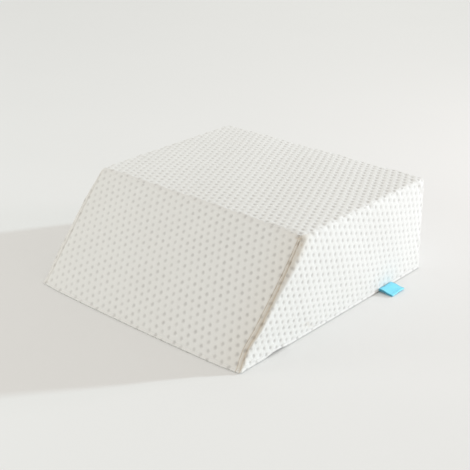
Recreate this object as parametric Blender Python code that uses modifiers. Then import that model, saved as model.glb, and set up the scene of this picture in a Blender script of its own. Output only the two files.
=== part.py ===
"""A wedge pillow: one filled, sewn cover that rests flat on its base, and a ribbon label folded into its base seam.

The base lies on z = 0 with its middle at the origin. X runs across the pillow, Y from the low front edge to the back
and Z up. The front face slopes back to a ridge, the top is almost level, and the back and both sides are upright.
The cover starts as a plain box with a grid on its faces. Functions then round it, fill it and lean it into a wedge.
"""

import math

import bmesh
import bpy
from mathutils import Vector

# Sizes of the filled cover between its corners, in metres
WIDTH = 0.533
LENGTH = 0.562
RIDGE_HEIGHT = 0.203
BACK_HEIGHT = 0.200
RIDGE_SETBACK = 0.172

# Rounding of the edges, and of the softer corner at the ridge's left end
BASE_ROUNDING = 0.004
TOP_ROUNDING = 0.0075
SOFT_CORNER_ROUNDING = 0.011
SOFT_CORNER_REACH = 0.045

# How far the filling swells the middle of each panel
TOP_CROWN = 0.006
FRONT_CROWN = 0.005
BACK_CROWN = 0.007
SIDE_CROWN = 0.0055
CROWN_POWER = 2.6

# The front base edge bows out between corners that the cover draws in
FRONT_BOW = 0.004
CORNER_DRAW = 0.0055
CORNER_DRAW_POWER = 12
BOW_FADE_ALONG = 4
BOW_FADE_UP = 2

# Small point of cloth at each front corner of the base seam
CORNER_POINT = 0.003
CORNER_POINT_REACH = 0.009

# Ridge of folded seam cloth down each sloping edge, on the front panel
WELT_HEIGHT = 0.0017
WELT_HALF_WIDTH = 0.0026
WELT_INSET = 0.0055
WELT_WANDER = 0.003
WELT_WANDER_POWER = 0.75
WELT_FADE_POWER = 0.25

# Rolled lip of the base seam, with a crease above it
LIP_HEIGHT = 0.0026
LIP_STAND_OUT = 0.0013
LIP_HALF_WIDTH = 0.0026
CREASE_HEIGHT = 0.0062
CREASE_DEPTH = 0.0008
CREASE_HALF_WIDTH = 0.0022

# Stretch of the right base edge that is lifted off the surface, measured from the front edge
LIFT_HEIGHT = 0.003
LIFT_FROM = 0.058
LIFT_TO = 0.134
LIFT_REACH = 0.014

# Grid cuts, as distances in from an edge, with even cells between them
SIDE_CUTS = (0.0015, 0.0032, 0.0055, 0.0078, 0.0105, 0.0155, 0.023, 0.036)
BASE_CUTS = (0.0013, 0.0026, 0.0042, 0.0062, 0.0085, 0.013, 0.022)
TOP_CUTS = (0.002, 0.0045, 0.0075, 0.0115, 0.018, 0.030)
CELLS_ACROSS = 13
CELLS_ALONG = 13
CELLS_UP = 6

# Ribbon label: place and width along the right side, and the loop that it makes
LABEL_FROM_FRONT = 0.435
LABEL_WIDTH = 0.042
LABEL_STAND_OUT = 0.033
LABEL_THICKNESS = 0.0009
LABEL_FOLD_RADIUS = 0.0012
LABEL_ROOT_HEIGHT = 0.0052
LABEL_DROP = 0.0022
LABEL_WAVE = 0.0009
LABEL_TWIST = 0.0005
LABEL_STEPS = 9
LABEL_FOLD_STEPS = 5
LABEL_CELLS_ALONG = 6

GAP = 0.0003
SAME_PLACE = 1e-6


def clear_scene():
    for obj in list(bpy.data.objects):
        bpy.data.objects.remove(obj, do_unlink=True)


def make_material(name, colour, roughness, sheen):
    material = bpy.data.materials.new(name)
    material.use_nodes = True
    shader = material.node_tree.nodes["Principled BSDF"]
    shader.inputs["Base Color"].default_value = (*colour, 1.0)
    shader.inputs["Roughness"].default_value = roughness
    shader.inputs["Metallic"].default_value = 0.0
    shader.inputs["Sheen Weight"].default_value = sheen
    return material


def make_object(name, bm, material, collection):
    mesh = bpy.data.meshes.new(name)
    bm.to_mesh(mesh)
    bm.free()
    mesh.materials.append(material)
    obj = bpy.data.objects.new(name, mesh)
    collection.objects.link(obj)
    return obj


def hump(offset, half_width):
    """One at the middle of a rounded hump, falling to nothing at its half width."""
    if abs(offset) >= half_width:
        return 0.0
    return math.cos(0.5 * math.pi * offset / half_width) ** 2


def between(value, low, high):
    return min(max(value, low), high)


def cuts(low, high, low_steps, high_steps, cells):
    """Places of the grid cuts: close together near both ends and even between."""
    first = [low + step for step in low_steps]
    last = [high - step for step in reversed(high_steps)]
    cell = (last[0] - first[-1]) / cells
    return first + [first[-1] + cell * step for step in range(1, cells)] + last


def gridded_box():
    """A plain box, as long and wide as the base and as high as the ridge, with its faces cut into a grid."""
    bm = bmesh.new()
    bmesh.ops.create_cube(bm, size=1.0)
    bmesh.ops.scale(bm, vec=(WIDTH, LENGTH, RIDGE_HEIGHT), verts=bm.verts)
    bmesh.ops.translate(bm, vec=(0.0, 0.0, RIDGE_HEIGHT / 2), verts=bm.verts)
    grid = (
        cuts(-WIDTH / 2, WIDTH / 2, SIDE_CUTS, SIDE_CUTS, CELLS_ACROSS),
        cuts(-LENGTH / 2, LENGTH / 2, SIDE_CUTS, SIDE_CUTS, CELLS_ALONG),
        cuts(0.0, RIDGE_HEIGHT, BASE_CUTS, TOP_CUTS, CELLS_UP),
    )
    for axis, places in enumerate(grid):
        normal = Vector((0.0, 0.0, 0.0))
        normal[axis] = 1.0
        for place in places:
            everything = bm.verts[:] + bm.edges[:] + bm.faces[:]
            bmesh.ops.bisect_plane(
                bm, geom=everything, dist=SAME_PLACE, plane_co=normal * place, plane_no=normal
            )
    return bm


def rounding_at(spot):
    """Rounding radius near a point: small at the base, larger at the top, largest at the soft corner."""
    radius = BASE_ROUNDING + (TOP_ROUNDING - BASE_ROUNDING) * spot.z / RIDGE_HEIGHT
    soft_corner = Vector((-WIDTH / 2, -LENGTH / 2, RIDGE_HEIGHT))
    nearness = math.exp(-(((spot - soft_corner).length / SOFT_CORNER_REACH) ** 2))
    return radius + (SOFT_CORNER_ROUNDING - TOP_ROUNDING) * nearness


def rounded(spot):
    """The point of a box with rounded edges that stands for a point of the plain box."""
    radius = rounding_at(spot)
    inner = Vector(
        (
            between(spot.x, radius - WIDTH / 2, WIDTH / 2 - radius),
            between(spot.y, radius - LENGTH / 2, LENGTH / 2 - radius),
            between(spot.z, radius, RIDGE_HEIGHT - radius),
        )
    )
    return inner + (spot - inner).normalized() * radius


def filled(spot):
    """Swells each panel between its seams, and bows the front base edge."""
    across = spot.x / (WIDTH / 2)
    along = spot.y / (LENGTH / 2)
    height = spot.z / RIDGE_HEIGHT
    loose_across = 1 - abs(across) ** CROWN_POWER
    loose_along = 1 - abs(along) ** CROWN_POWER
    loose_up = 1 - abs(2 * height - 1) ** CROWN_POWER
    end_crown = FRONT_CROWN if along < 0 else BACK_CROWN
    swollen = Vector(
        (
            spot.x + across * SIDE_CROWN * loose_along * loose_up,
            spot.y + along * end_crown * loose_across * loose_up,
            spot.z + height * TOP_CROWN * loose_across * loose_along,
        )
    )
    edge = FRONT_BOW * (1 - across**2) + CORNER_DRAW * (1 - across**CORNER_DRAW_POWER)
    front_share = between((1 - along) / 2, 0.0, 1.0) ** BOW_FADE_ALONG
    swollen.y -= edge * front_share * (1 - height) ** BOW_FADE_UP
    return swollen


def leaned(spot):
    """Leans the front face back to the ridge, and lets the top fall a little towards the back."""
    height = spot.z / RIDGE_HEIGHT
    setback = RIDGE_SETBACK * height
    from_front = spot.y + LENGTH / 2
    y = setback + from_front * (1 - setback / LENGTH) - LENGTH / 2
    fall = (RIDGE_HEIGHT - BACK_HEIGHT) * between(from_front / LENGTH, 0.0, 1.0)
    return Vector((spot.x, y, spot.z * (1 - fall / RIDGE_HEIGHT)))


def pointed(spot, place):
    """Draws the two front corners of the base seam out into small points."""
    for side in (-1, 1):
        corner = Vector((side * WIDTH / 2, -LENGTH / 2, LIP_HEIGHT))
        outwards = Vector((side, -1.0, 0.0)).normalized()
        nearness = math.exp(-(((spot - corner).length / CORNER_POINT_REACH) ** 2))
        place += outwards * CORNER_POINT * nearness
    return place


def lifted(spot, place):
    """Lifts one stretch of the right base edge off the surface."""
    from_front = spot.y + LENGTH / 2
    if not LIFT_FROM < from_front < LIFT_TO:
        return place
    middle = (LIFT_FROM + LIFT_TO) / 2
    along = hump(from_front - middle, (LIFT_TO - LIFT_FROM) / 2)
    inwards = between(1 - (WIDTH / 2 - spot.x) / LIFT_REACH, 0.0, 1.0)
    upwards = between(1 - spot.z / LIFT_REACH, 0.0, 1.0)
    place.z += LIFT_HEIGHT * along * inwards * upwards
    return place


def wandered(spot, place):
    """Shifts the cloth beside a sloping edge inwards on the front panel, most at two fifths of its height."""
    height = spot.z / RIDGE_HEIGHT
    from_side = WIDTH / 2 - abs(spot.x)
    on_front = spot.y < SAME_PLACE - LENGTH / 2
    if on_front and from_side < 2 * WELT_INSET:
        side = math.copysign(1.0, spot.x)
        shift = WELT_WANDER * math.sin(math.pi * height**WELT_WANDER_POWER)
        place.x -= side * shift * hump(from_side - WELT_INSET, WELT_INSET)
    return place


def relief(spot):
    """How far seams raise or sink the surface along its normal."""
    raised = 0.0
    height = spot.z / RIDGE_HEIGHT
    if spot.y < SAME_PLACE - LENGTH / 2:
        from_side = WIDTH / 2 - abs(spot.x)
        fade = math.sin(math.pi * height) ** WELT_FADE_POWER
        raised += WELT_HEIGHT * fade * hump(from_side - WELT_INSET, WELT_HALF_WIDTH)
    if 0.0 < spot.z < 2 * CREASE_HEIGHT:
        raised += LIP_STAND_OUT * hump(spot.z - LIP_HEIGHT, LIP_HALF_WIDTH)
        raised -= CREASE_DEPTH * hump(spot.z - CREASE_HEIGHT, CREASE_HALF_WIDTH)
    return raised


def filled_cover(collection):
    bm = gridded_box()
    spots = [vert.co.copy() for vert in bm.verts]
    for vert, spot in zip(bm.verts, spots):
        place = leaned(filled(rounded(spot)))
        vert.co = lifted(spot, wandered(spot, pointed(spot, place)))
    bm.normal_update()
    normals = [vert.normal.copy() for vert in bm.verts]
    for vert, spot, normal in zip(bm.verts, spots, normals):
        vert.co += normal * relief(spot)
        vert.co.z = max(vert.co.z, 0.0)
    cloth = make_material("cover_knit", (0.80, 0.79, 0.76), 0.85, 0.2)
    cover = make_object("wedge_cushion", bm, cloth, collection)
    cover.data.shade_smooth()
    return cover


def cover_edge_beside_label(cover):
    """How far the cover reaches to the right where the label comes out of the base seam."""
    middle = LABEL_FROM_FRONT - LENGTH / 2
    reach = [
        vert.co.x
        for vert in cover.data.vertices
        if abs(vert.co.y - middle) < LABEL_WIDTH and vert.co.z < 2 * LABEL_ROOT_HEIGHT
    ]
    return max(reach)


def ribbon_line(root):
    """Middle line of the folded ribbon: out along its lower layer, round the fold and back along its upper layer."""
    straight = LABEL_STAND_OUT - LABEL_FOLD_RADIUS - LABEL_THICKNESS / 2
    line = []
    for step in range(LABEL_STEPS):
        line.append((straight * step / LABEL_STEPS, -LABEL_FOLD_RADIUS))
    for step in range(LABEL_FOLD_STEPS + 1):
        turn = math.pi * (step / LABEL_FOLD_STEPS - 0.5)
        line.append((straight + LABEL_FOLD_RADIUS * math.cos(turn), LABEL_FOLD_RADIUS * math.sin(turn)))
    for step in reversed(range(LABEL_STEPS)):
        line.append((straight * step / LABEL_STEPS, LABEL_FOLD_RADIUS))
    return [(root + out, out / LABEL_STAND_OUT, rise) for out, rise in line]


def label_height(share, y_share):
    """Height of the loop's middle: it waves a little, drops to the surface and twists."""
    wave = LABEL_WAVE * math.sin(2 * math.pi * share)
    return LABEL_ROOT_HEIGHT + wave - LABEL_DROP * share**2 + LABEL_TWIST * share * y_share


def side_label(cover, collection):
    root = cover_edge_beside_label(cover) + GAP
    front = LABEL_FROM_FRONT - LABEL_WIDTH / 2 - LENGTH / 2
    cell = LABEL_WIDTH / LABEL_CELLS_ALONG
    line = ribbon_line(root)
    bm = bmesh.new()
    row = [bm.verts.new((x, front, rise)) for x, share, rise in line]
    edges = [bm.edges.new(pair) for pair in zip(row, row[1:])]
    for _ in range(LABEL_CELLS_ALONG):
        moved = bmesh.ops.extrude_edge_only(bm, edges=edges)["geom"]
        edges = [item for item in moved if isinstance(item, bmesh.types.BMEdge)]
        verts = [item for item in moved if isinstance(item, bmesh.types.BMVert)]
        edges = [edge for edge in edges if all(vert in verts for vert in edge.verts)]
        bmesh.ops.translate(bm, vec=(0.0, cell, 0.0), verts=verts)
    for vert in bm.verts:
        share = (vert.co.x - root) / LABEL_STAND_OUT
        y_share = (vert.co.y - front) / (LABEL_WIDTH / 2) - 1
        vert.co.z += label_height(share, y_share)
    ribbon = make_material("label_ribbon", (0.12, 0.62, 0.80), 0.45, 0.1)
    label = make_object("side_label", bm, ribbon, collection)
    thickness = label.modifiers.new("ribbon_thickness", "SOLIDIFY")
    thickness.thickness = LABEL_THICKNESS
    thickness.offset = 0.0
    thickness.use_even_offset = True
    label.data.shade_smooth()
    return label


def main():
    clear_scene()
    collection = bpy.data.collections.new("wedge_pillow")
    bpy.context.scene.collection.children.link(collection)
    cover = filled_cover(collection)
    side_label(cover, collection)


main()
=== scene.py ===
"""Looks of the wedge pillow: a dimpled knit cover sewn over the filled wedge, its ribbon label and a pale studio."""

import math

import bmesh
import bpy
import numpy as np
from bpy.props import (
    FloatProperty,
    FloatVectorProperty,
    IntProperty,
    IntVectorProperty,
    PointerProperty,
)
from bpy.types import Operator, Panel, PropertyGroup
from mathutils import Matrix, Vector


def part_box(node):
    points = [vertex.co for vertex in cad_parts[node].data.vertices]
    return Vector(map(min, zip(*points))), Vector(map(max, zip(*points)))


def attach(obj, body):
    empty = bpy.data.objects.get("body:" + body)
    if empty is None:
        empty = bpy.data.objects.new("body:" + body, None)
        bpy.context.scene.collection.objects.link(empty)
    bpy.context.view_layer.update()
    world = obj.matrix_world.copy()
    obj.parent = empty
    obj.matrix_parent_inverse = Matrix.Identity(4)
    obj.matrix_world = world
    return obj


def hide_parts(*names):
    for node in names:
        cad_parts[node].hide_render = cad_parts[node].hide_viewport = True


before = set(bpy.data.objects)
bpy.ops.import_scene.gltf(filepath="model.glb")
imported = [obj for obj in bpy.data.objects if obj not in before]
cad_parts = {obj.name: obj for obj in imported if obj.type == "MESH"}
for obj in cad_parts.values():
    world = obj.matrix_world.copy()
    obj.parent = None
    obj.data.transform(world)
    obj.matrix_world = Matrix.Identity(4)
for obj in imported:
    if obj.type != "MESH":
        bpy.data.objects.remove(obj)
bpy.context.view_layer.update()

bl_info = {
    "name": "Wedge Pillow Maker",
    "version": (1, 0, 0),
    "blender": (4, 5, 0),
    "location": "3D View > Sidebar > Pillow",
    "description": "Sews a dimpled knit cover over a filled wedge, folds its label and lights it",
    "category": "Add Mesh",
}

CLOTH_UV = "cloth"
DIMPLE_UV = "dimples"
LABEL_NODE_LOW, LABEL_NODE_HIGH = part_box("side_label")

# Panels of the cover, numbered for the faces and points that belong to them
FRONT, TOP, BACK, RIGHT, LEFT, BASE = range(6)


def length(name, description, default, high=1.0):
    return FloatProperty(
        name=name, description=description, default=default, min=0.0, max=high, precision=4, subtype="DISTANCE"
    )


def factor(name, description, default, high=1.0):
    return FloatProperty(name=name, description=description, default=default, min=0.0, max=high)


def colour(name, description, default):
    return FloatVectorProperty(
        name=name, description=description, default=default, min=0.0, max=1.0, size=3, subtype="COLOR"
    )


class CoverSettings(PropertyGroup):
    width: length("Width", "Across the pillow, between its side seams", 0.533)
    length: length("Length", "Front to back along the base", 0.562)
    ridge_height: length("Ridge height", "Height where the front face meets the top", 0.203)
    back_height: length("Back height", "Height of the back's top edge", 0.200)
    ridge_setback: length("Ridge setback", "How far the ridge stands behind the front edge", 0.172)
    base_rounding: length("Base rounding", "Radius of the edges round the base", 0.004)
    top_rounding: length("Top rounding", "Radius of the edges round the top", 0.0075)
    soft_rounding: length("Soft corner rounding", "Radius at the ridge's softer left end", 0.011)
    soft_reach: length("Soft corner reach", "How far the softer corner spreads", 0.045)
    shoulder_rounding: length("Shoulder rounding", "Extra radius of the right sloping edge, from above", 0.014)
    shoulder_reach: length("Shoulder reach", "How far that soft shoulder spreads", 0.060)
    shoulder_heights: FloatVectorProperty(
        name="Shoulder heights", description="Share of the height where the shoulder starts and is full",
        default=(0.28, 0.80), size=2, min=0.0, max=1.0,
    )
    top_crown: length("Top crown", "How far the filling swells the top", 0.006)
    front_crown: length("Front crown", "How far the filling swells the front", 0.005)
    back_crown: length("Back crown", "How far the filling swells the back", 0.007)
    side_crown: length("Side crown", "How far the filling swells each side", 0.0068)
    crown_power: factor("Crown shape", "Higher is flatter in the middle of a panel", 2.6, 8.0)
    front_bow: length("Front bow", "How far the front base edge bows out", 0.004)
    corner_draw: length("Corner draw", "How far the cover draws the front base corners in", 0.0055)
    corner_draw_power: factor("Corner draw shape", "Higher keeps the draw nearer to the corners", 12.0, 40.0)
    left_slope_bow: length("Left slope bow", "How far the left sloping edge bows out", 0.0045)
    right_slope_bow: length("Right slope bow", "How far the right sloping edge bows out", 0.0040)
    right_slope_bow_power: factor("Right bow shape", "Higher moves the right bow up", 1.8, 6.0)
    right_slope_draw: length("Right slope draw", "How far the right sloping edge is drawn in low down", 0.0035)
    right_slope_draw_height: factor("Right draw height", "Share of the height where it is drawn in most", 0.16)
    corner_point: length("Corner point", "How far the base seam's front corners stick out", 0.0022)
    corner_point_reach: length("Corner point reach", "Size of the pointed corners", 0.009)
    lift_height: length("Lift height", "How far a stretch of the right base edge is off the surface", 0.0042)
    lift_from: length("Lift start", "Start of the lifted stretch, from the front edge", 0.058)
    lift_to: length("Lift end", "End of the lifted stretch, from the front edge", 0.134)
    lift_reach: length("Lift reach", "How far the lift spreads up and under the pillow", 0.014)
    cells: IntVectorProperty(
        name="Cells", description="Grid cells across, along and up the cover", default=(180, 172, 82), size=3, min=8
    )
    fine_cells: IntProperty(
        name="Edge cells", description="Smaller cells beside each edge of a panel", default=16, min=2
    )
    fine_reach: length("Edge cell reach", "Width of the band of smaller cells", 0.012)


class SeamSettings(PropertyGroup):
    welt_height: length("Welt height", "How far the seam down a sloping edge stands out", 0.0017)
    welt_half_width: length("Welt half width", "Half the width of that seam's ridge", 0.0026)
    welt_inset: length("Welt inset", "Distance of the ridge in from the side", 0.0055)
    welt_wander: length("Welt wander", "How far the ridge wanders inwards at mid height", 0.0045)
    welt_wander_reach: length("Welt wander reach", "How far into the front the wander is felt", 0.014)
    groove_depth: length("Groove depth", "Depth of the stitched lines beside the ridge", 0.0010)
    groove_offset: length("Groove offset", "Distance of those lines from the ridge", 0.0032)
    groove_half_width: length("Groove half width", "Half the width of those lines", 0.0015)
    # Painted shade along the sloping seams: how far it runs on to the front and on to the side.
    shade_inside: length("Shade inside", "How far the seam's worn shade runs on to the front", 0.006)
    shade_outside: length("Shade outside", "How far the seam's worn shade runs on to the side", 0.007)
    left_share: factor("Left share", "How strong the left seam's lines are beside the right one's", 0.25)
    # Painted shadow in a strip below the rolled lip: its height, and how strong it is along the right side.
    under_height: length("Under height", "Height of the dark strip below the rolled lip", 0.0022)
    under_right: factor("Under right", "How dark that strip is along the right side, where it is well lit", 0.35)
    lip_height: length("Lip height", "Height of the base seam's rolled lip", 0.0026)
    lip_stand_out: length("Lip stand out", "How far the rolled lip stands out", 0.0013)
    lip_half_width: length("Lip half width", "Half the width of the rolled lip", 0.0026)
    crease_height: length("Crease height", "Height of the crease above the lip", 0.0062)
    crease_depth: length("Crease depth", "Depth of the crease above the lip", 0.0010)
    crease_half_width: length("Crease half width", "Half the width of that crease", 0.0022)
    pucker_depth: length("Pucker depth", "Depth of the small puckers along the seams", 0.00045)
    pucker_reach: length("Pucker reach", "How far the puckers run in from a seam", 0.011)


class KnitSettings(PropertyGroup):
    depth: length("Dimple depth", "Depth of the dimples in the padded knit", 0.0010)
    radius: length("Dimple radius", "Spread of a dimple", 0.0031)
    # These two shares also set how strong the painted shade in the dimples is, standing in for light and shade on the
    # top, front and sides.
    deeper_right: factor("Deeper to the right", "Share by which the front and top dimples deepen to the right", 0.22)
    paler_back: factor("Paler to the back", "Share by which the side's dimples fade towards the back", 0.22)
    seam_fade: length("Seam fade", "Distance from a seam over which the dimples flatten", 0.006)
    sway: length("Sway", "How far the rows of dimples sway from straight", 0.0007)
    undulation: length("Undulation", "Height of the slow waves in the cover", 0.0005)
    yarn: length("Stitch", "Width of one stitch of the jersey", 0.0011)
    colour: colour("Knit colour", "Colour of the knit", (0.80, 0.795, 0.77))
    # Dimple colour is painted shade at the bottom of each dimple's pit.
    dimple_shade_colour: colour("Dimple colour", "Colour at the bottom of a dimple", (0.57, 0.56, 0.54))
    # Seam colour is painted shade beside the sloping seams.
    seam_shade_colour: colour("Seam colour", "Tint of the worn knit along the sloping seams", (0.91, 0.87, 0.81))
    # Groove colour is painted shade in the stitched lines and the tucks' furrows.
    groove_shade_colour: colour("Groove colour", "Tint of the stitched lines", (0.84, 0.77, 0.69))
    # Under colour is a painted shadow below the rolled lip and under the lifted stretch.
    under_shadow_colour: colour("Under colour", "Tint of the strip below the rolled lip", (0.42, 0.36, 0.31))


class LabelSettings(PropertyGroup):
    width: length("Ribbon width", "Width of the ribbon along the seam", 0.042)
    stand_out: length("Stand out", "How far the loop stands out from the seam", 0.033)
    thickness: length("Ribbon thickness", "Thickness of one layer of ribbon", 0.0009)
    fold_radius: length("Fold radius", "Radius of the fold's middle line", 0.0015)
    root_flare: factor("Root flare", "How much wider the loop opens at the seam than at its fold", 0.5)
    root_height: length("Root height", "Height of the loop where it leaves the seam", 0.0052)
    drop: length("Drop", "How far the loop drops to the surface", 0.0022)
    wave: length("Wave", "Height of the loop's wave", 0.0009)
    twist: length("Twist", "Rise of the loop's outer end across its width", 0.0005)
    colour: colour("Ribbon colour", "Colour of the ribbon", (0.19, 0.69, 0.88))
    edge_colour: colour("Edge colour", "Colour of the ribbon's woven edges", (0.03, 0.25, 0.36))


class StudioSettings(PropertyGroup):
    floor_size: length("Floor size", "Width of the floor", 80.0, 200.0)
    floor_colour: colour("Floor colour", "Colour of the floor", (0.82, 0.82, 0.81))
    # Painted light on the floor: brighter to the far right and darker to the far left, standing in for the light's
    # falloff.
    painted_light_bearing: factor("Floor bearing", "Direction in which the floor is brighter, in degrees", 42.0, 360.0)
    painted_shade_left: factor("Darker left", "Share by which the far left of the floor is darker", 0.02)
    painted_light_right: factor("Brighter right", "Share by which the far right of the floor is brighter", 0.045)
    ambient_colour: colour("Ambient colour", "Colour of the light all round", (1.0, 0.965, 0.918))
    ambient: factor("Ambient", "Strength of the light all round", 0.805, 5.0)
    key: factor("Key light", "Strength of the low light from the back right", 1.95, 10.0)
    key_bearing: factor("Key bearing", "Direction of the key light, in degrees from the X axis", 59.0, 360.0)
    key_elevation: factor("Key elevation", "Height of the key light, in degrees", 14.0, 90.0)
    key_size: factor("Key size", "Apparent size of the key light, in degrees", 3.0, 30.0)
    fill: factor("Fill light", "Strength of the broad light from the front left", 16.2, 200.0)
    back_fill: factor("Back fill", "Strength of the small light behind the right side", 9.5, 200.0)
    camera_bearing: factor("Camera bearing", "Direction of the camera, in degrees", 42.02, 360.0)
    camera_elevation: factor("Camera elevation", "Height of the camera, in degrees", 23.90, 90.0)
    camera_distance: factor("Camera distance", "Distance of the camera from its target", 2.116, 20.0)
    camera_roll: FloatProperty(name="Camera roll", description="Tilt of the camera, in degrees", default=-0.39)
    camera_target: FloatVectorProperty(
        name="Camera target", description="Point that the camera looks at", default=(0.018, -0.0145, 0.101), size=3
    )
    focal_pixels: factor("Focal length", "Focal length in pixels of the frame", 1059.0, 5000.0)
    frame_pixels: factor("Frame", "Width of the frame in pixels", 470.0, 5000.0)


def hump(offset, half_width):
    """One at the middle of a rounded hump, falling to nothing at its half width."""
    share = np.clip(np.abs(offset) / half_width, 0.0, 1.0)
    return np.cos(0.5 * np.pi * share) ** 2


def ease(value):
    share = np.clip(value, 0.0, 1.0)
    return share * share * (3.0 - 2.0 * share)


def near(points, centre, reach):
    """A soft blob of influence round a point."""
    return np.exp(-np.sum((points - np.array(centre)) ** 2, axis=1) / reach**2)


def points_of(mesh):
    values = np.empty(len(mesh.vertices) * 3, np.float32)
    mesh.vertices.foreach_get("co", values)
    return values.reshape(-1, 3).astype(float)


def set_points(mesh, points):
    mesh.vertices.foreach_set("co", points.astype(np.float32).ravel())
    mesh.update()


def normals_of(mesh):
    values = np.empty(len(mesh.vertices) * 3, np.float32)
    mesh.vertex_normals.foreach_get("vector", values)
    return values.reshape(-1, 3).astype(float)


def link(name, mesh, material):
    mesh.name = name
    mesh.materials.clear()
    mesh.materials.append(material)
    obj = bpy.data.objects.new(name, mesh)
    bpy.context.scene.collection.objects.link(obj)
    return obj


def gridded_cube(cells):
    """A cube from -1 to 1 with its faces cut into a grid."""
    bm = bmesh.new()
    bmesh.ops.create_cube(bm, size=2.0)
    for axis, count in enumerate(cells):
        along = [
            edge for edge in bm.edges if abs(edge.verts[0].co[axis] - edge.verts[1].co[axis]) > 1.5
        ]
        bmesh.ops.subdivide_edges(bm, edges=along, cuts=count - 1, use_grid_fill=False)
    mesh = bpy.data.meshes.new("grid")
    bm.to_mesh(mesh)
    bm.free()
    return mesh


def graded(even, total, cells, fine_cells, fine_reach):
    """Even grid places from -1 to 1 spread from 0 to total, with smaller cells in a band at both ends."""
    share = fine_cells / cells
    return np.interp((even + 1) / 2, (0.0, share, 1.0 - share, 1.0), (0.0, fine_reach, total - fine_reach, total))


class Tuck:
    """A small soft furrow in the cover, from one end to the other, with painted shade along it as strong as its dark
    share.
    """

    def __init__(self, start, end, half_width, depth, dark):
        self.start = np.array(start)
        self.along = np.array(end) - self.start
        self.half_width = half_width
        self.depth = depth
        self.dark = dark

    def share(self, points):
        """One along the middle of the furrow, falling away round it."""
        place = np.clip((points - self.start) @ self.along / (self.along @ self.along), 0.0, 1.0)
        away = np.linalg.norm(points - self.start - place[:, None] * self.along, axis=1)
        return np.exp(-((away / self.half_width) ** 2))


# Each tuck: start, end, half width, depth, and dark, how strong the painted shade along it is.
RIDGE_END_TUCK = Tuck((0.2535, -0.1140, 0.1970), (0.2630, -0.1110, 0.1985), 0.0022, 0.0013, 1.0)
SHOULDER_TUCKS = (
    Tuck((0.2645, -0.1165, 0.1925), (0.2668, -0.1120, 0.1810), 0.0018, 0.0007, 0.8),
    Tuck((0.2652, -0.1280, 0.1800), (0.2667, -0.1255, 0.1735), 0.0019, 0.0008, 0.8),
)
BASE_TUCKS = (
    Tuck((0.2690, -0.1068, 0.0270), (0.2688, -0.1045, 0.0160), 0.0017, 0.0008, 0.45),
    Tuck((0.2688, -0.0975, 0.0270), (0.2686, -0.0915, 0.0170), 0.0022, 0.0012, 0.45),
    Tuck((0.2688, -0.0915, 0.0170), (0.2680, -0.0740, 0.0080), 0.0026, 0.0014, 0.25),
)
BACK_CORNER_TUCKS = (
    Tuck((0.2668, 0.2560, 0.1900), (0.2668, 0.2700, 0.1700), 0.0032, 0.0009, 0.05),
    Tuck((0.2668, 0.2450, 0.1930), (0.2668, 0.2500, 0.1800), 0.0028, 0.0007, 0.0),
)
TUCKS = (RIDGE_END_TUCK, *SHOULDER_TUCKS, *BASE_TUCKS, *BACK_CORNER_TUCKS)


class Rows:
    """Rows of dimples on one panel, in metres of cloth: the first dimple, the steps to the next one down and across,
    and how the cloth is stretched off true rows, by the squares and the product of its two places."""

    def __init__(self, first, down, across, stretch):
        self.first = np.array(first)
        self.steps = np.array((down, across))
        self.stretch = np.array(stretch)

    def counted(self, cloth):
        """Whole numbers at the dimples, for places on the cloth."""
        u, v = cloth.T
        pulled = cloth - self.first + np.stack((u * u, u * v, v * v), axis=1) @ self.stretch
        return pulled @ np.linalg.inv(self.steps)


FRONT_ROWS = Rows(
    first=(-0.0081, -0.1342), down=(0.00536, -0.01356), across=(-0.01190, -0.00984),
    stretch=((0.029, -0.014), (0.098, -0.045), (-0.168, 0.184)),
)
TOP_ROWS = Rows(
    first=(0.0128, 0.0909), down=(0.00505, -0.01243), across=(-0.01224, -0.00888),
    stretch=((0.083, -0.196), (0.074, -0.004), (0.246, -0.150)),
)
SIDE_ROWS = Rows(
    first=(-0.0097, 0.0819), down=(0.00546, -0.01417), across=(-0.01099, -0.00919),
    stretch=((-0.057, -0.054), (0.013, -0.001), (-0.319, -0.068)),
)
PANEL_ROWS = {FRONT: FRONT_ROWS, TOP: TOP_ROWS, BACK: TOP_ROWS, RIGHT: SIDE_ROWS, LEFT: SIDE_ROWS, BASE: SIDE_ROWS}


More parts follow.
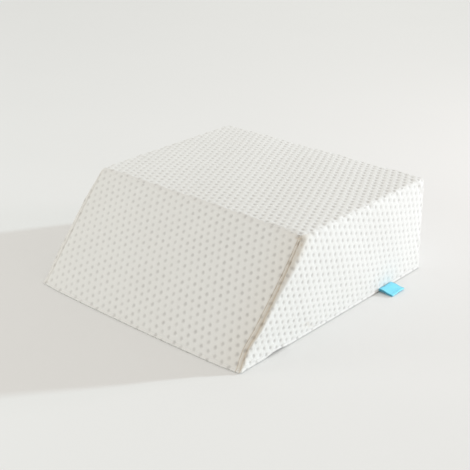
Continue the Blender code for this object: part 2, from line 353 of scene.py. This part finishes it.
class Shape:
    """The cover's points: first on a plain box, then rounded, filled and leaned into the wedge."""

    def __init__(self, mesh, cover, seam):
        self.cover = cover
        self.seam = seam
        cube = points_of(mesh)
        fine = (cover.fine_cells, cover.fine_reach)
        x = graded(cube[:, 0], cover.width, cover.cells[0], *fine) - cover.width / 2
        y = graded(cube[:, 1], cover.length, cover.cells[1], *fine) - cover.length / 2
        z = graded(cube[:, 2], cover.ridge_height, cover.cells[2], *fine)
        self.spots = np.stack((x, y, z), axis=1)
        self.height = z / cover.ridge_height
        self.from_front = y + cover.length / 2
        self.from_side = cover.width / 2 - np.abs(x)
        self.panel = self.panels(cube)

    def panels(self, cube):
        """The panel that each point belongs to. A side owns its own seams."""
        edge = 1 - 1e-6
        panel = np.full(len(cube), TOP)
        panel[cube[:, 1] < -edge] = FRONT
        panel[cube[:, 1] > edge] = BACK
        panel[(cube[:, 2] > edge)] = TOP
        panel[cube[:, 0] > edge] = RIGHT
        panel[cube[:, 0] < -edge] = LEFT
        panel[cube[:, 2] < -edge] = BASE
        return panel

    def shoulder(self):
        """Extra radius, seen from above, of the soft shoulder down the right sloping edge."""
        c = self.cover
        start, full = c.shoulder_heights
        from_edge = np.hypot(c.width / 2 - self.spots[:, 0], self.from_front)
        growth = ease((self.height - start) / (full - start))
        return c.shoulder_rounding * growth * np.exp(-((from_edge / c.shoulder_reach) ** 2))

    def rounded(self):
        """The points of the box with its edges rounded."""
        c = self.cover
        radius = c.base_rounding + (c.top_rounding - c.base_rounding) * self.height
        soft_corner = (-c.width / 2, -c.length / 2, c.ridge_height)
        radius = radius + (c.soft_rounding - c.top_rounding) * near(self.spots, soft_corner, c.soft_reach)
        plan = radius + self.shoulder()
        radii = np.stack((plan, plan, radius), axis=1)
        inner = np.clip(
            self.spots,
            np.array((-c.width / 2, -c.length / 2, 0.0)) + radii,
            np.array((c.width / 2, c.length / 2, c.ridge_height)) - radii,
        )
        outwards = (self.spots - inner) / radii
        reach = np.maximum(np.linalg.norm(outwards, axis=1), 1e-9)
        return inner + outwards * radii / reach[:, None]

    def slope_bow(self, across, height):
        """How far a sloping edge bows out to its side, with the low stretch of the right one drawn in."""
        c = self.cover
        right = c.right_slope_bow * np.sin(np.pi * height**c.right_slope_bow_power)
        right -= c.right_slope_draw * hump(height - c.right_slope_draw_height, c.right_slope_draw_height)
        return np.where(across < 0, c.left_slope_bow * np.sin(np.pi * height), right)

    def filled(self, points):
        """Swells each panel between its seams, and bows the front base edge."""
        c = self.cover
        across = points[:, 0] / (c.width / 2)
        along = points[:, 1] / (c.length / 2)
        height = np.clip(points[:, 2] / c.ridge_height, 0.0, 1.0)
        front_share = np.clip((1 - along) / 2, 0.0, 1.0) ** 4
        loose_across = 1 - np.abs(across) ** c.crown_power
        loose_along = 1 - np.abs(along) ** c.crown_power
        loose_up = 1 - np.abs(2 * height - 1) ** c.crown_power
        end_crown = np.where(along < 0, c.front_crown, c.back_crown)
        side_swell = c.side_crown * loose_along * loose_up + front_share * self.slope_bow(across, height)
        x = points[:, 0] + across * side_swell
        y = points[:, 1] + along * end_crown * loose_across * loose_up
        z = points[:, 2] + height * c.top_crown * loose_across * loose_along
        bow = c.front_bow * (1 - across**2) + c.corner_draw * (1 - np.abs(across) ** c.corner_draw_power)
        y -= bow * front_share * (1 - height) ** 2
        return np.stack((x, y, z), axis=1)

    def leaned(self, points):
        """Leans the front face back to the ridge, and lets the top fall a little towards the back."""
        c = self.cover
        height = points[:, 2] / c.ridge_height
        from_front = points[:, 1] + c.length / 2
        setback = c.ridge_setback * height
        y = setback + from_front * (1 - setback / c.length) - c.length / 2
        fall = (c.ridge_height - c.back_height) * np.clip(from_front / c.length, 0.0, 1.0)
        return np.stack((points[:, 0], y, points[:, 2] * (1 - fall / c.ridge_height)), axis=1)

    def pointed(self, points):
        """Draws the two front corners of the base seam out into small points."""
        c = self.cover
        for side in (-1, 1):
            corner = (side * c.width / 2, -c.length / 2, self.seam.lip_height)
            outwards = np.array((side, -1.0, 0.0)) / math.sqrt(2)
            points = points + outwards * c.corner_point * near(self.spots, corner, c.corner_point_reach)[:, None]
        return points

    def lifted(self, points):
        """Lifts one stretch of the right base edge off the surface."""
        c = self.cover
        along = hump(self.from_front - (c.lift_from + c.lift_to) / 2, (c.lift_to - c.lift_from) / 2)
        inwards = np.clip(1 - (c.width / 2 - self.spots[:, 0]) / c.lift_reach, 0.0, 1.0)
        upwards = np.clip(1 - self.spots[:, 2] / c.lift_reach, 0.0, 1.0)
        points[:, 2] += c.lift_height * along * inwards * upwards
        return points

    def wandered(self, points):
        """Shifts the cloth beside a sloping edge inwards on the front panel."""
        s = self.seam
        offset = self.from_side - s.welt_inset
        reach = np.where(offset < 0, s.welt_inset, s.welt_wander_reach)
        shift = s.welt_wander * np.sin(np.pi * self.height**0.75) * hump(offset, reach)
        points[:, 0] -= np.where(self.panel == FRONT, np.sign(self.spots[:, 0]) * shift, 0.0)
        return points

    def body(self):
        points = self.leaned(self.filled(self.rounded()))
        return self.wandered(self.lifted(self.pointed(points)))

    def seams(self):
        """How far the seams raise or sink the surface along its normal."""
        s = self.seam
        on_front = (self.panel == FRONT).astype(float)
        fade = np.clip(np.sin(np.pi * self.height), 0.0, 1.0) ** 0.25
        raised = on_front * fade * s.welt_height * hump(self.from_side - s.welt_inset, s.welt_half_width)
        raised -= fade * s.groove_depth * self.grooves() * self.seam_share()
        low = (self.height > 0) & (self.spots[:, 2] < 2 * s.crease_height)
        lip = s.lip_stand_out * hump(self.spots[:, 2] - s.lip_height, s.lip_half_width)
        crease = s.crease_depth * hump(self.spots[:, 2] - s.crease_height, s.crease_half_width)
        return raised + np.where(low, lip - crease, 0.0)

    def seam_share(self):
        """How strong each sloping seam's lines are: full on the right."""
        return np.where(self.spots[:, 0] > 0, 1.0, self.seam.left_share)

    def grooves(self):
        """One along the two stitched lines beside each welt."""
        s = self.seam
        offset = np.abs(self.from_side - s.welt_inset)
        return (self.panel == FRONT) * hump(offset - s.groove_offset, s.groove_half_width)

    def painted_seam_shade(self, points):
        """Painted shade beside a sloping seam: strong round the welt, fading over the front and the side."""
        c, s = self.cover, self.seam
        offset = self.from_side - s.welt_inset
        front = np.where(offset > 0, np.exp(-((offset / s.shade_inside) ** 2)), 1.0)
        # A broad, weaker painted shade over the front beside each sloping seam.
        front = np.maximum(front, 0.35 * np.exp(-((offset / 0.05) ** 2)))
        slope = math.hypot(c.ridge_setback, c.ridge_height)
        from_slope = (points[:, 1] + c.length / 2 - c.ridge_setback * self.height) * c.ridge_height / slope
        # On the side the painted shade widens towards the top, where the shoulder turns away from the light.
        reach = s.shade_outside * (0.6 + 1.6 * ease((self.height - 0.55) / 0.4))
        side = np.exp(-((np.clip(from_slope, 0.0, None) / reach) ** 2))
        on_side = (self.panel == RIGHT) | (self.panel == LEFT)
        painted_seam_shade = np.where(self.panel == FRONT, front, np.where(on_side, side, 0.0))
        return painted_seam_shade * ease(self.height / 0.05) * self.seam_share()

    def under(self, points):
        """How far each point takes the painted shadow: in the strip below the rolled lip, and on the base under the
        lifted stretch.
        """
        c, s = self.cover, self.seam
        middle, half = (c.lift_from + c.lift_to) / 2, (c.lift_to - c.lift_from) / 2
        lifted = hump(self.from_front - middle, half) * (points[:, 0] > 0) * ease((0.02 - self.from_side) / 0.01)
        low = ease(1.4 * (1 - points[:, 2] / s.under_height))
        low *= np.where(self.panel == RIGHT, s.under_right, 1.0)
        return np.where(self.panel == BASE, ease(3 * lifted), np.where(self.spots[:, 2] < s.crease_height, low, 0.0))

    def cloth(self, points, panel):
        """Where points lie on the flat cloth, in metres: the strip over front, top and back, and the two sides."""
        c = self.cover
        slope = math.hypot(c.ridge_setback, c.ridge_height)
        ridge = c.ridge_setback - c.length / 2
        x, y, z = points.T
        down = c.ridge_height - z
        u = np.select((panel == RIGHT, panel == LEFT), (y, -y), x)
        v = np.select(
            (panel == FRONT, panel == TOP, panel == BACK, panel == BASE),
            (-down * slope / c.ridge_height, y - ridge, c.length - c.ridge_setback + down, y),
            z,
        )
        return np.stack((u, v), axis=1)


def swayed(cloth, knit):
    """Rows of dimples that sway a little from straight, as knit does over a cushion."""
    u, v = cloth.T
    along = np.sin(23.0 * u + 31.0 * v) + 0.6 * np.sin(47.0 * v - 19.0 * u + 1.3)
    across = np.sin(29.0 * u - 17.0 * v + 0.7) + 0.6 * np.sin(53.0 * u + 11.0 * v + 2.1)
    return cloth + 0.6 * knit.sway * np.stack((along, across), axis=1)


def count_dimples(cloth, panel, knit):
    """Whole numbers at the dimples, for places on the cloth of the given panels."""
    place = swayed(cloth, knit)
    counted = np.zeros_like(place)
    for name, rows in PANEL_ROWS.items():
        counted[panel == name] = rows.counted(place[panel == name])
    return counted


def dimples(counted, knit):
    """Depth share of the dimples, from nothing between them to one at a dimple's middle."""
    offset = (counted - np.round(counted)) @ FRONT_ROWS.steps
    return np.exp(-0.5 * np.sum(offset**2, axis=1) / knit.radius**2)


def dimple_strength(shape, points, knit):
    """How strong the dimples are: more so to the right on the front and top, and less so to the back of the sides. It
    sets their depth, and also the painted shade in them, which stands in for light and shade: the top and front
    darker to the right, the sides paler to the back.
    """
    c = shape.cover
    right = 1 + knit.deeper_right * 2 * points[:, 0] / c.width
    front = 1 - knit.paler_back * 2 * points[:, 1] / c.length
    return np.where((shape.panel == RIGHT) | (shape.panel == LEFT), front, right)


def seam_distance(shape, points):
    """Distance of each point from the nearest seam: the welts on the front, the other side edges and the base."""
    c = shape.cover
    on_side = (shape.panel == RIGHT) | (shape.panel == LEFT)
    side = np.minimum(c.length / 2 - points[:, 1], c.ridge_height - points[:, 2])
    from_welt = np.abs(shape.from_side - shape.seam.welt_inset)
    distance = np.where(on_side, side, np.where(shape.panel == FRONT, from_welt, shape.from_side))
    return np.clip(np.minimum(distance, points[:, 2] - shape.seam.crease_height), 0.0, None)


def waves(points):
    """Slow, uneven waves in the cover."""
    x, y, z = points.T
    return (
        np.sin(31.0 * x + 17.0 * y + 9.0 * z)
        + 0.8 * np.sin(23.0 * y - 37.0 * x + 41.0 * z + 1.1)
        + 0.6 * np.sin(59.0 * x - 43.0 * y - 29.0 * z + 2.3)
    )


def puckers(shape, points, distance):
    """Small uneven gathers that run in from the side seams."""
    seam = shape.seam
    along = points[:, 1] + 0.7 * points[:, 2]
    beat = np.sin(240.0 * along) + 0.8 * np.sin(317.0 * along + 0.9) + 0.6 * np.sin(173.0 * along + 2.2)
    return seam.pucker_depth * beat * np.exp(-distance / seam.pucker_reach) * ease(points[:, 2] / 0.02)


def flatten_base(mesh):
    """Joins the flat base's many cells into one face."""
    bm = bmesh.new()
    bm.from_mesh(mesh)
    flat = [face for face in bm.faces if max(vert.co.z for vert in face.verts) < 1e-6]
    bmesh.ops.dissolve_faces(bm, faces=flat, use_verts=False)
    bm.to_mesh(mesh)
    bm.free()


def sew_cover(cover, seam, knit):
    mesh = gridded_cube(cover.cells)
    face_normals = np.empty(len(mesh.polygons) * 3, np.float32)
    mesh.polygons.foreach_get("normal", face_normals)
    shape = Shape(mesh, cover, seam)
    set_points(mesh, shape.body())
    set_points(mesh, points_of(mesh) + normals_of(mesh) * shape.seams()[:, None])
    points = points_of(mesh)
    distance = seam_distance(shape, points)
    counted = count_dimples(shape.cloth(points, shape.panel), shape.panel, knit)
    strength = dimple_strength(shape, points, knit)
    relief = -knit.depth * strength * (dimples(counted, knit) - 0.2) * ease(distance / knit.seam_fade)
    relief += knit.undulation * waves(points) * ease(distance / 0.03)
    relief += puckers(shape, points, distance)
    tucked = [tuck.share(points) for tuck in TUCKS]
    relief -= sum(tuck.depth * share for tuck, share in zip(TUCKS, tucked))
    relief[shape.panel == BASE] = 0.0
    points += normals_of(mesh) * relief[:, None]
    points[:, 2] = np.maximum(points[:, 2], 0.0)
    set_points(mesh, points)
    paint_cloth(mesh, shape, points, face_normals.reshape(-1, 3), knit)
    # Painted shade beside the sloping seams.
    paint_points(mesh, "painted_seam_shade", shape.painted_seam_shade(points))
    # Painted shade in the stitched lines and along the tucks' furrows.
    furrow_shade = np.max([tuck.dark * share for tuck, share in zip(TUCKS, tucked)], axis=0)
    paint_points(mesh, "groove_shade", np.maximum(shape.grooves() * shape.seam_share(), furrow_shade))
    # Painted shadow below the rolled lip and under the lifted stretch.
    paint_points(mesh, "under", shape.under(points))
    # Strength of the dimples, which also scales the painted shade in them.
    paint_points(mesh, "strength", strength)
    flatten_base(mesh)
    mesh.shade_smooth()
    return mesh


def paint_points(mesh, name, values):
    layer = mesh.attributes.new(name, "FLOAT", "POINT")
    layer.data.foreach_set("value", values.astype(np.float32))


def paint_cloth(mesh, shape, points, face_normals, knit):
    """Stores where each face corner lies on the flat cloth, in metres and in dimples."""
    axis = np.argmax(np.abs(face_normals), axis=1)
    positive = np.take_along_axis(face_normals, axis[:, None], axis=1)[:, 0] > 0
    by_axis = np.array(((LEFT, RIGHT), (FRONT, BACK), (BASE, TOP)))
    face_panel = by_axis[axis, positive.astype(int)]
    counts = np.empty(len(mesh.polygons), np.int32)
    mesh.polygons.foreach_get("loop_total", counts)
    corner = np.empty(len(mesh.loops), np.int32)
    mesh.loops.foreach_get("vertex_index", corner)
    panel = np.repeat(face_panel, counts)
    place = shape.cloth(points[corner], panel)
    for name, values in ((CLOTH_UV, place), (DIMPLE_UV, count_dimples(place, panel, knit))):
        layer = mesh.uv_layers.new(name=name)
        layer.uv.foreach_set("vector", values.astype(np.float32).ravel())


class Nodes:
    """Short calls for building a material's node tree."""

    def __init__(self, name):
        self.material = bpy.data.materials.new(name)
        self.material.use_nodes = True
        self.tree = self.material.node_tree
        self.shader = self.tree.nodes["Principled BSDF"]

    def add(self, kind, inputs=(), **settings):
        node = self.tree.nodes.new(kind)
        for key, value in settings.items():
            setattr(node, key, value)
        for key, value in dict(inputs).items():
            self.feed(node.inputs[key], value)
        return node

    def feed(self, socket, value):
        if isinstance(value, bpy.types.NodeSocket):
            self.tree.links.new(value, socket)
        else:
            socket.default_value = value

    def maths(self, operation, *values):
        return self.add("ShaderNodeMath", dict(enumerate(values)), operation=operation).outputs[0]

    def vector(self, operation, *values):
        node = self.add("ShaderNodeVectorMath", dict(enumerate(values)), operation=operation)
        return node.outputs["Value" if operation in ("LENGTH", "DOT_PRODUCT") else "Vector"]

    def blend(self, share, first, second):
        node = self.add("ShaderNodeMix", data_type="RGBA")
        self.feed(node.inputs[0], share)
        self.feed(node.inputs[6], first)
        self.feed(node.inputs[7], second)
        return node.outputs[2]

    def tint(self, share, colour, tint):
        """Multiplies a colour by a tint, as far as the share says."""
        node = self.add("ShaderNodeMix", data_type="RGBA", blend_type="MULTIPLY")
        self.feed(node.inputs[0], share)
        self.feed(node.inputs[6], colour)
        self.feed(node.inputs[7], (*tint, 1.0))
        return node.outputs[2]

    def painted(self, name):
        return self.add("ShaderNodeAttribute", attribute_name=name).outputs["Fac"]

    def range(self, value, low, high, to_low, to_high):
        node = self.add("ShaderNodeMapRange", interpolation_type="SMOOTHSTEP")
        for socket, given in zip(node.inputs[:5], (value, low, high, to_low, to_high)):
            self.feed(socket, given)
        return node.outputs[0]


def knit_material(knit):
    """Off-white padded jersey: a slanting lattice of dimples with painted shade in them, painted shade along the
    seams, in the stitched lines and furrows, a painted shadow below the rolled lip, fine stitches, and a soft matt
    sheen.
    """
    n = Nodes("dimpled_knit")
    cloth = n.add("ShaderNodeUVMap", uv_map=CLOTH_UV).outputs[0]
    fuzz = n.add("ShaderNodeTexNoise", {"Vector": cloth, "Scale": 260.0, "Detail": 2.0})
    stray = n.vector("SUBTRACT", fuzz.outputs["Color"], (0.5, 0.5, 0.5))
    counted = n.add("ShaderNodeUVMap", uv_map=DIMPLE_UV).outputs[0]
    strayed = n.vector("MULTIPLY_ADD", stray, (0.16, 0.16, 0.0), counted)
    split = n.add("ShaderNodeSeparateXYZ", {0: strayed})
    rows = (split.outputs[0], split.outputs[1])
    whole = [n.maths("ROUND", row) for row in rows]
    part = [n.maths("SUBTRACT", row, near_row) for row, near_row in zip(rows, whole)]
    steps = FRONT_ROWS.steps
    offset = [
        n.maths("MULTIPLY_ADD", part[0], steps[0][axis], n.maths("MULTIPLY", part[1], steps[1][axis]))
        for axis in range(2)
    ]
    away = n.vector("LENGTH", n.add("ShaderNodeCombineXYZ", {0: offset[0], 1: offset[1]}).outputs[0])
    cell = n.add("ShaderNodeCombineXYZ", {0: whole[0], 1: whole[1]}).outputs[0]
    luck = n.add("ShaderNodeTexWhiteNoise", {"Vector": cell}, noise_dimensions="2D").outputs["Value"]
    # Painted shade at the bottom of each dimple, with a random share per dimple.
    dimple = n.range(away, 0.0006, 0.0054, 1.0, 0.0)
    shade = n.maths("MULTIPLY", dimple, n.range(luck, 0.0, 1.0, 0.55, 0.85))
    # The strength attribute makes this painted shade darker to the right and paler to the back of the sides.
    shade = n.maths("MULTIPLY", shade, n.painted("strength"))
    grain = n.add("ShaderNodeTexNoise", {"Vector": cloth, "Scale": 900.0, "Detail": 3.0}).outputs["Fac"]
    yarn = n.blend(n.range(grain, 0.3, 0.7, 0.0, 1.0), (*[0.975 * c for c in knit.colour], 1.0), (*knit.colour, 1.0))
    dimpled = n.blend(shade, yarn, (*knit.dimple_shade_colour, 1.0))
    # Painted shade beside the sloping seams.
    painted_seam_shade = n.tint(n.painted("painted_seam_shade"), dimpled, knit.seam_shade_colour)
    # Painted shade in the stitched lines and furrows.
    groove_shaded = n.tint(n.painted("groove_shade"), painted_seam_shade, knit.groove_shade_colour)
    # Painted shadow below the rolled lip and under the lifted stretch.
    n.feed(n.shader.inputs["Base Color"], n.tint(n.painted("under"), groove_shaded, knit.under_shadow_colour))
    n.feed(n.shader.inputs["Roughness"], n.range(grain, 0.2, 0.8, 0.86, 0.96))
    n.shader.inputs["Sheen Weight"].default_value = 0.12
    n.shader.inputs["Sheen Roughness"].default_value = 0.6
    n.shader.inputs["Specular IOR Level"].default_value = 0.25
    across = n.add("ShaderNodeSeparateXYZ", {0: cloth})
    column = n.maths("SINE", n.maths("MULTIPLY", across.outputs[0], math.tau / knit.yarn))
    slant = n.maths("MULTIPLY", n.maths("ABSOLUTE", column), 1.4)
    course = n.maths("MULTIPLY_ADD", across.outputs[1], math.tau / (0.8 * knit.yarn), slant)
    stitch = n.maths("MULTIPLY", n.maths("SINE", course), n.maths("ABSOLUTE", column))
    pit = n.add("ShaderNodeBump", {"Height": shade, "Distance": 0.0008, "Strength": 0.8}, invert=True)
    fine = n.add("ShaderNodeBump", {"Height": stitch, "Distance": 0.00008, "Strength": 0.6})
    n.feed(fine.inputs["Normal"], pit.outputs[0])
    n.feed(n.shader.inputs["Normal"], fine.outputs[0])
    return n.material


def ribbon_material(label):
    """Woven satin ribbon: fine cross ribs, darker along both long edges, and a soft shine."""
    n = Nodes("woven_ribbon")
    place = n.add("ShaderNodeUVMap", uv_map=CLOTH_UV).outputs[0]
    split = n.add("ShaderNodeSeparateXYZ", {0: place})
    rib = n.maths("SINE", n.maths("MULTIPLY", split.outputs[1], math.tau / 0.0007))
    edge = n.maths("ABSOLUTE", n.maths("SUBTRACT", split.outputs[0], 0.5 * label.width))
    border = n.range(edge, 0.44 * label.width, 0.5 * label.width, 0.0, 0.6)
    grain = n.add("ShaderNodeTexNoise", {"Vector": place, "Scale": 700.0, "Detail": 3.0}).outputs["Fac"]
    cloth = n.blend(grain, (*label.colour, 1.0), (*[1.25 * c for c in label.colour], 1.0))
    n.feed(n.shader.inputs["Base Color"], n.blend(border, cloth, (*label.edge_colour, 1.0)))
    n.feed(n.shader.inputs["Roughness"], n.range(grain, 0.2, 0.8, 0.38, 0.5))
    n.shader.inputs["Sheen Weight"].default_value = 0.1
    bump = n.add("ShaderNodeBump", {"Height": rib, "Distance": 0.00006, "Strength": 0.7})
    n.feed(n.shader.inputs["Normal"], bump.outputs[0])
    return n.material


def floor_material(studio):
    """Smooth matt paper, with a faint unevenness, and painted light: a little brighter to the far right than to the
    far left, standing in for the light's falloff.
    """
    n = Nodes("studio_paper")
    place = n.add("ShaderNodeTexCoord").outputs["Object"]
    cloud = n.add("ShaderNodeTexNoise", {"Vector": place, "Scale": 3.0, "Detail": 2.0}).outputs["Fac"]
    shade = [0.985 * c for c in studio.floor_colour]
    paper = n.blend(cloud, (*shade, 1.0), (*studio.floor_colour, 1.0))
    bearing = math.radians(studio.painted_light_bearing)
    right = n.vector("DOT_PRODUCT", place, (math.cos(bearing), math.sin(bearing), 0.0))
    away = n.vector("DOT_PRODUCT", place, (-math.sin(bearing), math.cos(bearing), 0.0))
    # Painted light: brighter to the far right, darker to the far left, fading out towards the front.
    painted_falloff = n.range(right, -0.9, 0.8, 1.0 - studio.painted_shade_left, 1.0 + studio.painted_light_right)
    level = n.maths("MULTIPLY_ADD", n.range(away, -0.7, 0.5, 0.0, 1.0), n.maths("SUBTRACT", painted_falloff, 1.0), 1.0)
    n.feed(n.shader.inputs["Base Color"], n.vector("SCALE", paper, (0.0, 0.0, 0.0), (0.0, 0.0, 0.0), level))
    n.shader.inputs["Roughness"].default_value = 0.95
    n.shader.inputs["Specular IOR Level"].default_value = 0.1
    return n.material


def ribbon_line(label, steps, fold_steps):
    """Middle line of the folded ribbon, with the length run along it: out, round the fold and back."""
    straight = label.stand_out - label.fold_radius - label.thickness / 2
    out = np.linspace(0.0, straight, steps, endpoint=False)
    turn = np.linspace(-0.5, 0.5, fold_steps) * math.pi
    x = np.concatenate((out, straight + label.fold_radius * np.cos(turn), out[::-1]))
    z = np.concatenate((0 * out - label.fold_radius, label.fold_radius * np.sin(turn), 0 * out + label.fold_radius))
    z = z * (1 + label.root_flare * (1 - x / label.stand_out) ** 2)
    run = np.concatenate(((0.0,), np.cumsum(np.hypot(np.diff(x), np.diff(z)))))
    return x, z, run


def fold_label(label):
    """The ribbon as a strip swept along the seam, given its thickness, with its loop waved and dropped."""
    root, front = LABEL_NODE_LOW.x, LABEL_NODE_LOW.y
    x, z, run = ribbon_line(label, 22, 9)
    cells = 20
    bm = bmesh.new()
    row = [bm.verts.new((root + a, front, b)) for a, b in zip(x, z)]
    edges = [bm.edges.new(pair) for pair in zip(row, row[1:])]
    for _ in range(cells):
        moved = bmesh.ops.extrude_edge_only(bm, edges=edges)["geom"]
        verts = {item for item in moved if isinstance(item, bmesh.types.BMVert)}
        edges = [item for item in moved if isinstance(item, bmesh.types.BMEdge) and set(item.verts) <= verts]
        bmesh.ops.translate(bm, vec=(0.0, label.width / cells, 0.0), verts=list(verts))
    layer = bm.loops.layers.uv.new(CLOTH_UV)
    runs = {(round(a, 6), round(b, 6)): length for a, b, length in zip(x, z, run)}
    for face in bm.faces:
        for loop in face.loops:
            spot = loop.vert.co
            along = min(runs, key=lambda at: (at[0] + root - spot.x) ** 2 + (at[1] - spot.z) ** 2)
            loop[layer].uv = (spot.y - front, runs[along])
    for vert in bm.verts:
        share = (vert.co.x - root) / label.stand_out
        y_share = (vert.co.y - front) / (label.width / 2) - 1
        wave = label.wave * math.sin(math.tau * share) + 0.0004 * share * math.sin(3.1 * y_share + 0.6)
        vert.co.z += label.root_height + wave - label.drop * share**2 + label.twist * share * y_share
    bmesh.ops.recalc_face_normals(bm, faces=bm.faces)
    bmesh.ops.solidify(bm, geom=bm.faces[:], thickness=label.thickness)
    mesh = bpy.data.meshes.new("ribbon")
    bm.to_mesh(mesh)
    bm.free()
    mesh.shade_smooth()
    return mesh


class PILLOW_OT_sew_cover(Operator):
    """Sew the dimpled knit cover over the filled wedge"""

    bl_idname = "pillow.sew_cover"
    bl_label = "Sew cover"

    def execute(self, context):
        scene = context.scene
        mesh = sew_cover(scene.pillow_cover, scene.pillow_seam, scene.pillow_knit)
        cover = link("knit_cover", mesh, knit_material(scene.pillow_knit))
        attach(cover, "root")
        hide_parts("wedge_cushion")
        return {"FINISHED"}


class PILLOW_OT_fold_label(Operator):
    """Fold the ribbon label into a loop at the base seam"""

    bl_idname = "pillow.fold_label"
    bl_label = "Fold label"

    def execute(self, context):
        label = context.scene.pillow_label
        ribbon = link("ribbon_label", fold_label(label), ribbon_material(label))
        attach(ribbon, "root")
        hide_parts("side_label")
        return {"FINISHED"}


def add_light(name, kind, location, direction, energy, **settings):
    data = bpy.data.lights.new(name, kind)
    data.energy = energy
    for key, value in settings.items():
        setattr(data, key, value)
    obj = bpy.data.objects.new(name, data)
    obj.location = location
    obj.rotation_euler = Vector(direction).to_track_quat("-Z", "Y").to_euler()
    bpy.context.scene.collection.objects.link(obj)
    return obj


def add_camera(studio):
    """The camera of the studio view, from its bearing, elevation and roll."""
    bearing = math.radians(studio.camera_bearing)
    elevation = math.radians(studio.camera_elevation)
    roll = math.radians(studio.camera_roll)
    back = Vector(
        (
            math.sin(bearing) * math.cos(elevation),
            -math.cos(bearing) * math.cos(elevation),
            math.sin(elevation),
        )
    )
    level = Vector((0.0, 0.0, 1.0)).cross(back).normalized()
    up = back.cross(level)
    right = level * math.cos(roll) + up * math.sin(roll)
    upright = up * math.cos(roll) - level * math.sin(roll)
    data = bpy.data.cameras.new("studio_camera")
    data.sensor_fit = "HORIZONTAL"
    data.lens = data.sensor_width * studio.focal_pixels / studio.frame_pixels
    camera = bpy.data.objects.new("studio_camera", data)
    turn = Matrix((right, upright, back)).transposed().to_4x4()
    place = Vector(studio.camera_target) + back * studio.camera_distance
    camera.matrix_world = Matrix.Translation(place) @ turn
    bpy.context.scene.collection.objects.link(camera)
    bpy.context.scene.camera = camera


class PILLOW_OT_set_studio(Operator):
    """Lay the pale floor and set the lights and the camera"""

    bl_idname = "pillow.set_studio"
    bl_label = "Set studio"

    def execute(self, context):
        studio = context.scene.pillow_studio
        bm = bmesh.new()
        bmesh.ops.create_grid(bm, x_segments=8, y_segments=8, size=studio.floor_size / 2)
        mesh = bpy.data.meshes.new("floor")
        bm.to_mesh(mesh)
        bm.free()
        floor = link("studio_floor", mesh, floor_material(studio))
        world = bpy.data.worlds.new("studio_light")
        world.use_nodes = True
        background = world.node_tree.nodes["Background"]
        background.inputs["Color"].default_value = (*studio.ambient_colour, 1.0)
        background.inputs["Strength"].default_value = studio.ambient
        context.scene.world = world
        bearing = math.radians(studio.key_bearing)
        elevation = math.radians(studio.key_elevation)
        towards = Vector(
            (
                math.cos(bearing) * math.cos(elevation),
                math.sin(bearing) * math.cos(elevation),
                math.sin(elevation),
            )
        )
        add_light(
            "key_light", "SUN", towards * 4, -towards, studio.key,
            angle=math.radians(studio.key_size), color=(0.74, 0.92, 1.0),
        )
        place = Vector((-1.9, -2.0, 0.6))
        add_light("fill_light", "AREA", place, -place, studio.fill, size=1.4, color=(0.90, 1.0, 1.0))
        place, aim = Vector((1.3, 1.7, 0.55)), Vector((0.3, 0.1, 0.05))
        add_light("back_fill_light", "AREA", place, aim - place, studio.back_fill, size=0.5, color=(1.0, 0.84, 0.92))
        add_camera(studio)
        context.scene.view_settings.view_transform = "Standard"
        return {"FINISHED"}


class PILLOW_PT_maker(Panel):
    """Sidebar panel of the pillow's settings and steps"""

    bl_label = "Wedge pillow"
    bl_space_type = "VIEW_3D"
    bl_region_type = "UI"
    bl_category = "Pillow"

    def draw(self, context):
        groups = (
            ("pillow_cover", "pillow.sew_cover"),
            ("pillow_seam", None),
            ("pillow_knit", None),
            ("pillow_label", "pillow.fold_label"),
            ("pillow_studio", "pillow.set_studio"),
        )
        for name, operator in groups:
            box = self.layout.box()
            settings = getattr(context.scene, name)
            for key in settings.__annotations__:
                box.prop(settings, key)
            if operator:
                box.operator(operator)


SETTINGS = {
    "pillow_cover": CoverSettings,
    "pillow_seam": SeamSettings,
    "pillow_knit": KnitSettings,
    "pillow_label": LabelSettings,
    "pillow_studio": StudioSettings,
}
OTHER_CLASSES = (PILLOW_OT_sew_cover, PILLOW_OT_fold_label, PILLOW_OT_set_studio, PILLOW_PT_maker)


def register():
    for cls in (*SETTINGS.values(), *OTHER_CLASSES):
        bpy.utils.register_class(cls)
    for name, cls in SETTINGS.items():
        setattr(bpy.types.Scene, name, PointerProperty(type=cls))


def unregister():
    for name in SETTINGS:
        delattr(bpy.types.Scene, name)
    for cls in reversed((*SETTINGS.values(), *OTHER_CLASSES)):
        bpy.utils.unregister_class(cls)


def main():
    register()
    bpy.ops.pillow.sew_cover()
    bpy.ops.pillow.fold_label()
    bpy.ops.pillow.set_studio()


if __name__ == "__main__":
    main()
